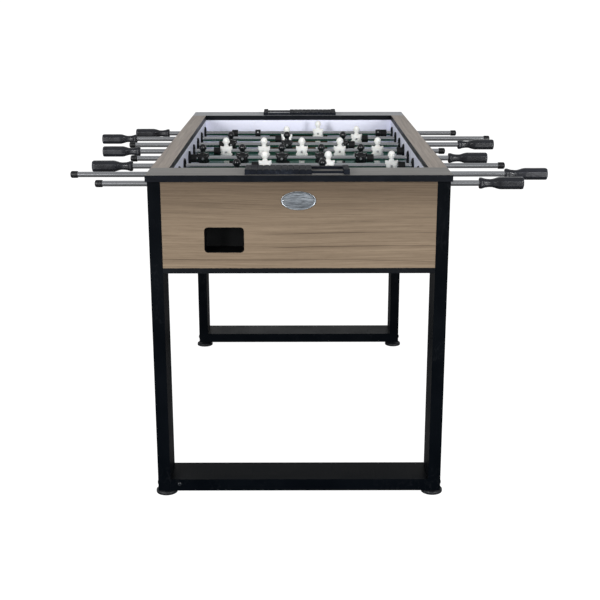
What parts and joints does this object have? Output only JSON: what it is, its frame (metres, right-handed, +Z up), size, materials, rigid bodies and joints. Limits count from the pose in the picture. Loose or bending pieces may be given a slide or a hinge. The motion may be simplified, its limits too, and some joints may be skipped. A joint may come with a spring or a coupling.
{
  "type": "foosball table",
  "caption": "Free-standing table football game: framed rail top over an oak-look cabinet, sliding and spinning player rods, ball returns, tile scorers, black tube-leg stands.",
  "frame": {"origin": "on the floor, at the middle of the pattern of levelling feet, under the centre of the field", "axes": "+X along the player rods, +Y along the table's length away from the front end, +Z up"},
  "size_m": [1.331, 1.412, 0.876],
  "materials": {
    "field_green": "satin laminate",
    "oak_panel": "open-grain oak laminate, satin",
    "white_wall": "satin laminate",
    "black_trim": "black laminate, satin",
    "rail_top": "grey weathered wood laminate with black edges",
    "black_metal": "fine-textured powder coat, satin",
    "black_plastic": "moulded, satin",
    "badge_metal": "brushed, blank",
    "bolt_metal": "black oxide",
    "black_rubber": "moulded rubber",
    "plain_wood": "sawn, unfinished",
    "rod_chrome": "polished steel tube",
    "handle_black": "moulded, semi-gloss",
    "cap_black": "moulded, semi-gloss",
    "men_white": "moulded, satin",
    "men_black": "moulded, semi-gloss",
    "collar_black": "moulded, with a bright screw",
    "tile_black": "moulded, satin"
  },
  "bodies": {
    "cabinet": {"playfield": "field_green", "side_panels": "oak_panel", "end_panels": "oak_panel", "goal_walls": "white_wall", "bottom_panel": "black_trim", "top_rails": "rail_top", "legs": "black_metal", "crossbars": "black_metal", "levelling_feet": "black_plastic", "rod_bushings": "black_plastic", "scorer_frames": "black_plastic", "ball_returns": "black_plastic", "badge": "badge_metal", "leg_bolts": "bolt_metal", "loose_bumper": "black_rubber", "field_supports": "plain_wood"},
    "bumper_set_1": {"bumpers_1": "black_rubber"},
    "rod_set_1": {"rod_1": "rod_chrome", "handle_1": "handle_black", "end_cap_1": "cap_black", "men_1": "men_black", "stop_collars_1": "collar_black"},
    "bumper_set_2": {"bumpers_2": "black_rubber"},
    "rod_set_2": {"rod_2": "rod_chrome", "handle_2": "handle_black", "end_cap_2": "cap_black", "men_2": "men_black"},
    "bumper_set_3": {"bumpers_3": "black_rubber"},
    "rod_set_3": {"rod_3": "rod_chrome", "handle_3": "handle_black", "end_cap_3": "cap_black", "men_3": "men_white"},
    "bumper_set_4": {"bumpers_4": "black_rubber"},
    "rod_set_4": {"rod_4": "rod_chrome", "handle_4": "handle_black", "end_cap_4": "cap_black", "men_4": "men_black"},
    "bumper_set_5": {"bumpers_5": "black_rubber"},
    "rod_set_5": {"rod_5": "rod_chrome", "handle_5": "handle_black", "end_cap_5": "cap_black", "men_5": "men_white"},
    "bumper_set_6": {"bumpers_6": "black_rubber"},
    "rod_set_6": {"rod_6": "rod_chrome", "handle_6": "handle_black", "end_cap_6": "cap_black", "men_6": "men_black"},
    "bumper_set_7": {"bumpers_7": "black_rubber"},
    "rod_set_7": {"rod_7": "rod_chrome", "handle_7": "handle_black", "end_cap_7": "cap_black", "men_7": "men_white"},
    "bumper_set_8": {"bumpers_8": "black_rubber"},
    "rod_set_8": {"rod_8": "rod_chrome", "handle_8": "handle_black", "end_cap_8": "cap_black", "men_8": "men_white", "stop_collars_8": "collar_black"},
    "beads_front": {"score_beads_front": "tile_black"},
    "beads_rear": {"score_beads_rear": "tile_black"}
  },
  "joints": [
    {"name": "rod_1_slide", "type": "slide", "parent": "cabinet", "child": "bumper_set_1", "axis": [1, 0, 0], "range_m": [-0.038, 0.132]},
    {"name": "rod_1_spin", "type": "hinge", "parent": "bumper_set_1", "child": "rod_set_1", "pos_m": [0, -0.5124, 0.8113], "axis": [1, 0, 0], "continuous": true},
    {"name": "rod_2_slide", "type": "slide", "parent": "cabinet", "child": "bumper_set_2", "axis": [1, 0, 0], "range_m": [-0.116, 0.22]},
    {"name": "rod_2_spin", "type": "hinge", "parent": "bumper_set_2", "child": "rod_set_2", "pos_m": [0, -0.366, 0.8113], "axis": [1, 0, 0], "continuous": true},
    {"name": "rod_3_slide", "type": "slide", "parent": "cabinet", "child": "bumper_set_3", "axis": [1, 0, 0], "range_m": [-0.1885, 0.0205]},
    {"name": "rod_3_spin", "type": "hinge", "parent": "bumper_set_3", "child": "rod_set_3", "pos_m": [0, -0.2196, 0.8113], "axis": [1, 0, 0], "continuous": true},
    {"name": "rod_4_slide", "type": "slide", "parent": "cabinet", "child": "bumper_set_4", "axis": [1, 0, 0], "range_m": [-0.0005, 0.1005]},
    {"name": "rod_4_spin", "type": "hinge", "parent": "bumper_set_4", "child": "rod_set_4", "pos_m": [0, -0.0732, 0.8113], "axis": [1, 0, 0], "continuous": true},
    {"name": "rod_5_slide", "type": "slide", "parent": "cabinet", "child": "bumper_set_5", "axis": [1, 0, 0], "range_m": [-0.0605, 0.0405]},
    {"name": "rod_5_spin", "type": "hinge", "parent": "bumper_set_5", "child": "rod_set_5", "pos_m": [0, 0.0732, 0.8113], "axis": [1, 0, 0], "continuous": true},
    {"name": "rod_6_slide", "type": "slide", "parent": "cabinet", "child": "bumper_set_6", "axis": [1, 0, 0], "range_m": [-0.067, 0.142]},
    {"name": "rod_6_spin", "type": "hinge", "parent": "bumper_set_6", "child": "rod_set_6", "pos_m": [0, 0.2196, 0.8113], "axis": [1, 0, 0], "continuous": true},
    {"name": "rod_7_slide", "type": "slide", "parent": "cabinet", "child": "bumper_set_7", "axis": [1, 0, 0], "range_m": [-0.245, 0.091]},
    {"name": "rod_7_spin", "type": "hinge", "parent": "bumper_set_7", "child": "rod_set_7", "pos_m": [0, 0.366, 0.8113], "axis": [1, 0, 0], "continuous": true},
    {"name": "rod_8_slide", "type": "slide", "parent": "cabinet", "child": "bumper_set_8", "axis": [1, 0, 0], "range_m": [-0.0925, 0.0175]},
    {"name": "rod_8_spin", "type": "hinge", "parent": "bumper_set_8", "child": "rod_set_8", "pos_m": [0, 0.5124, 0.8113], "axis": [1, 0, 0], "continuous": true},
    {"name": "beads_front_slide", "type": "slide", "parent": "cabinet", "child": "beads_front", "axis": [1, 0, 0], "range_m": [0, 0.0776]},
    {"name": "beads_rear_slide", "type": "slide", "parent": "cabinet", "child": "beads_rear", "axis": [-1, 0, 0], "range_m": [0, 0.0776]}
  ]
}
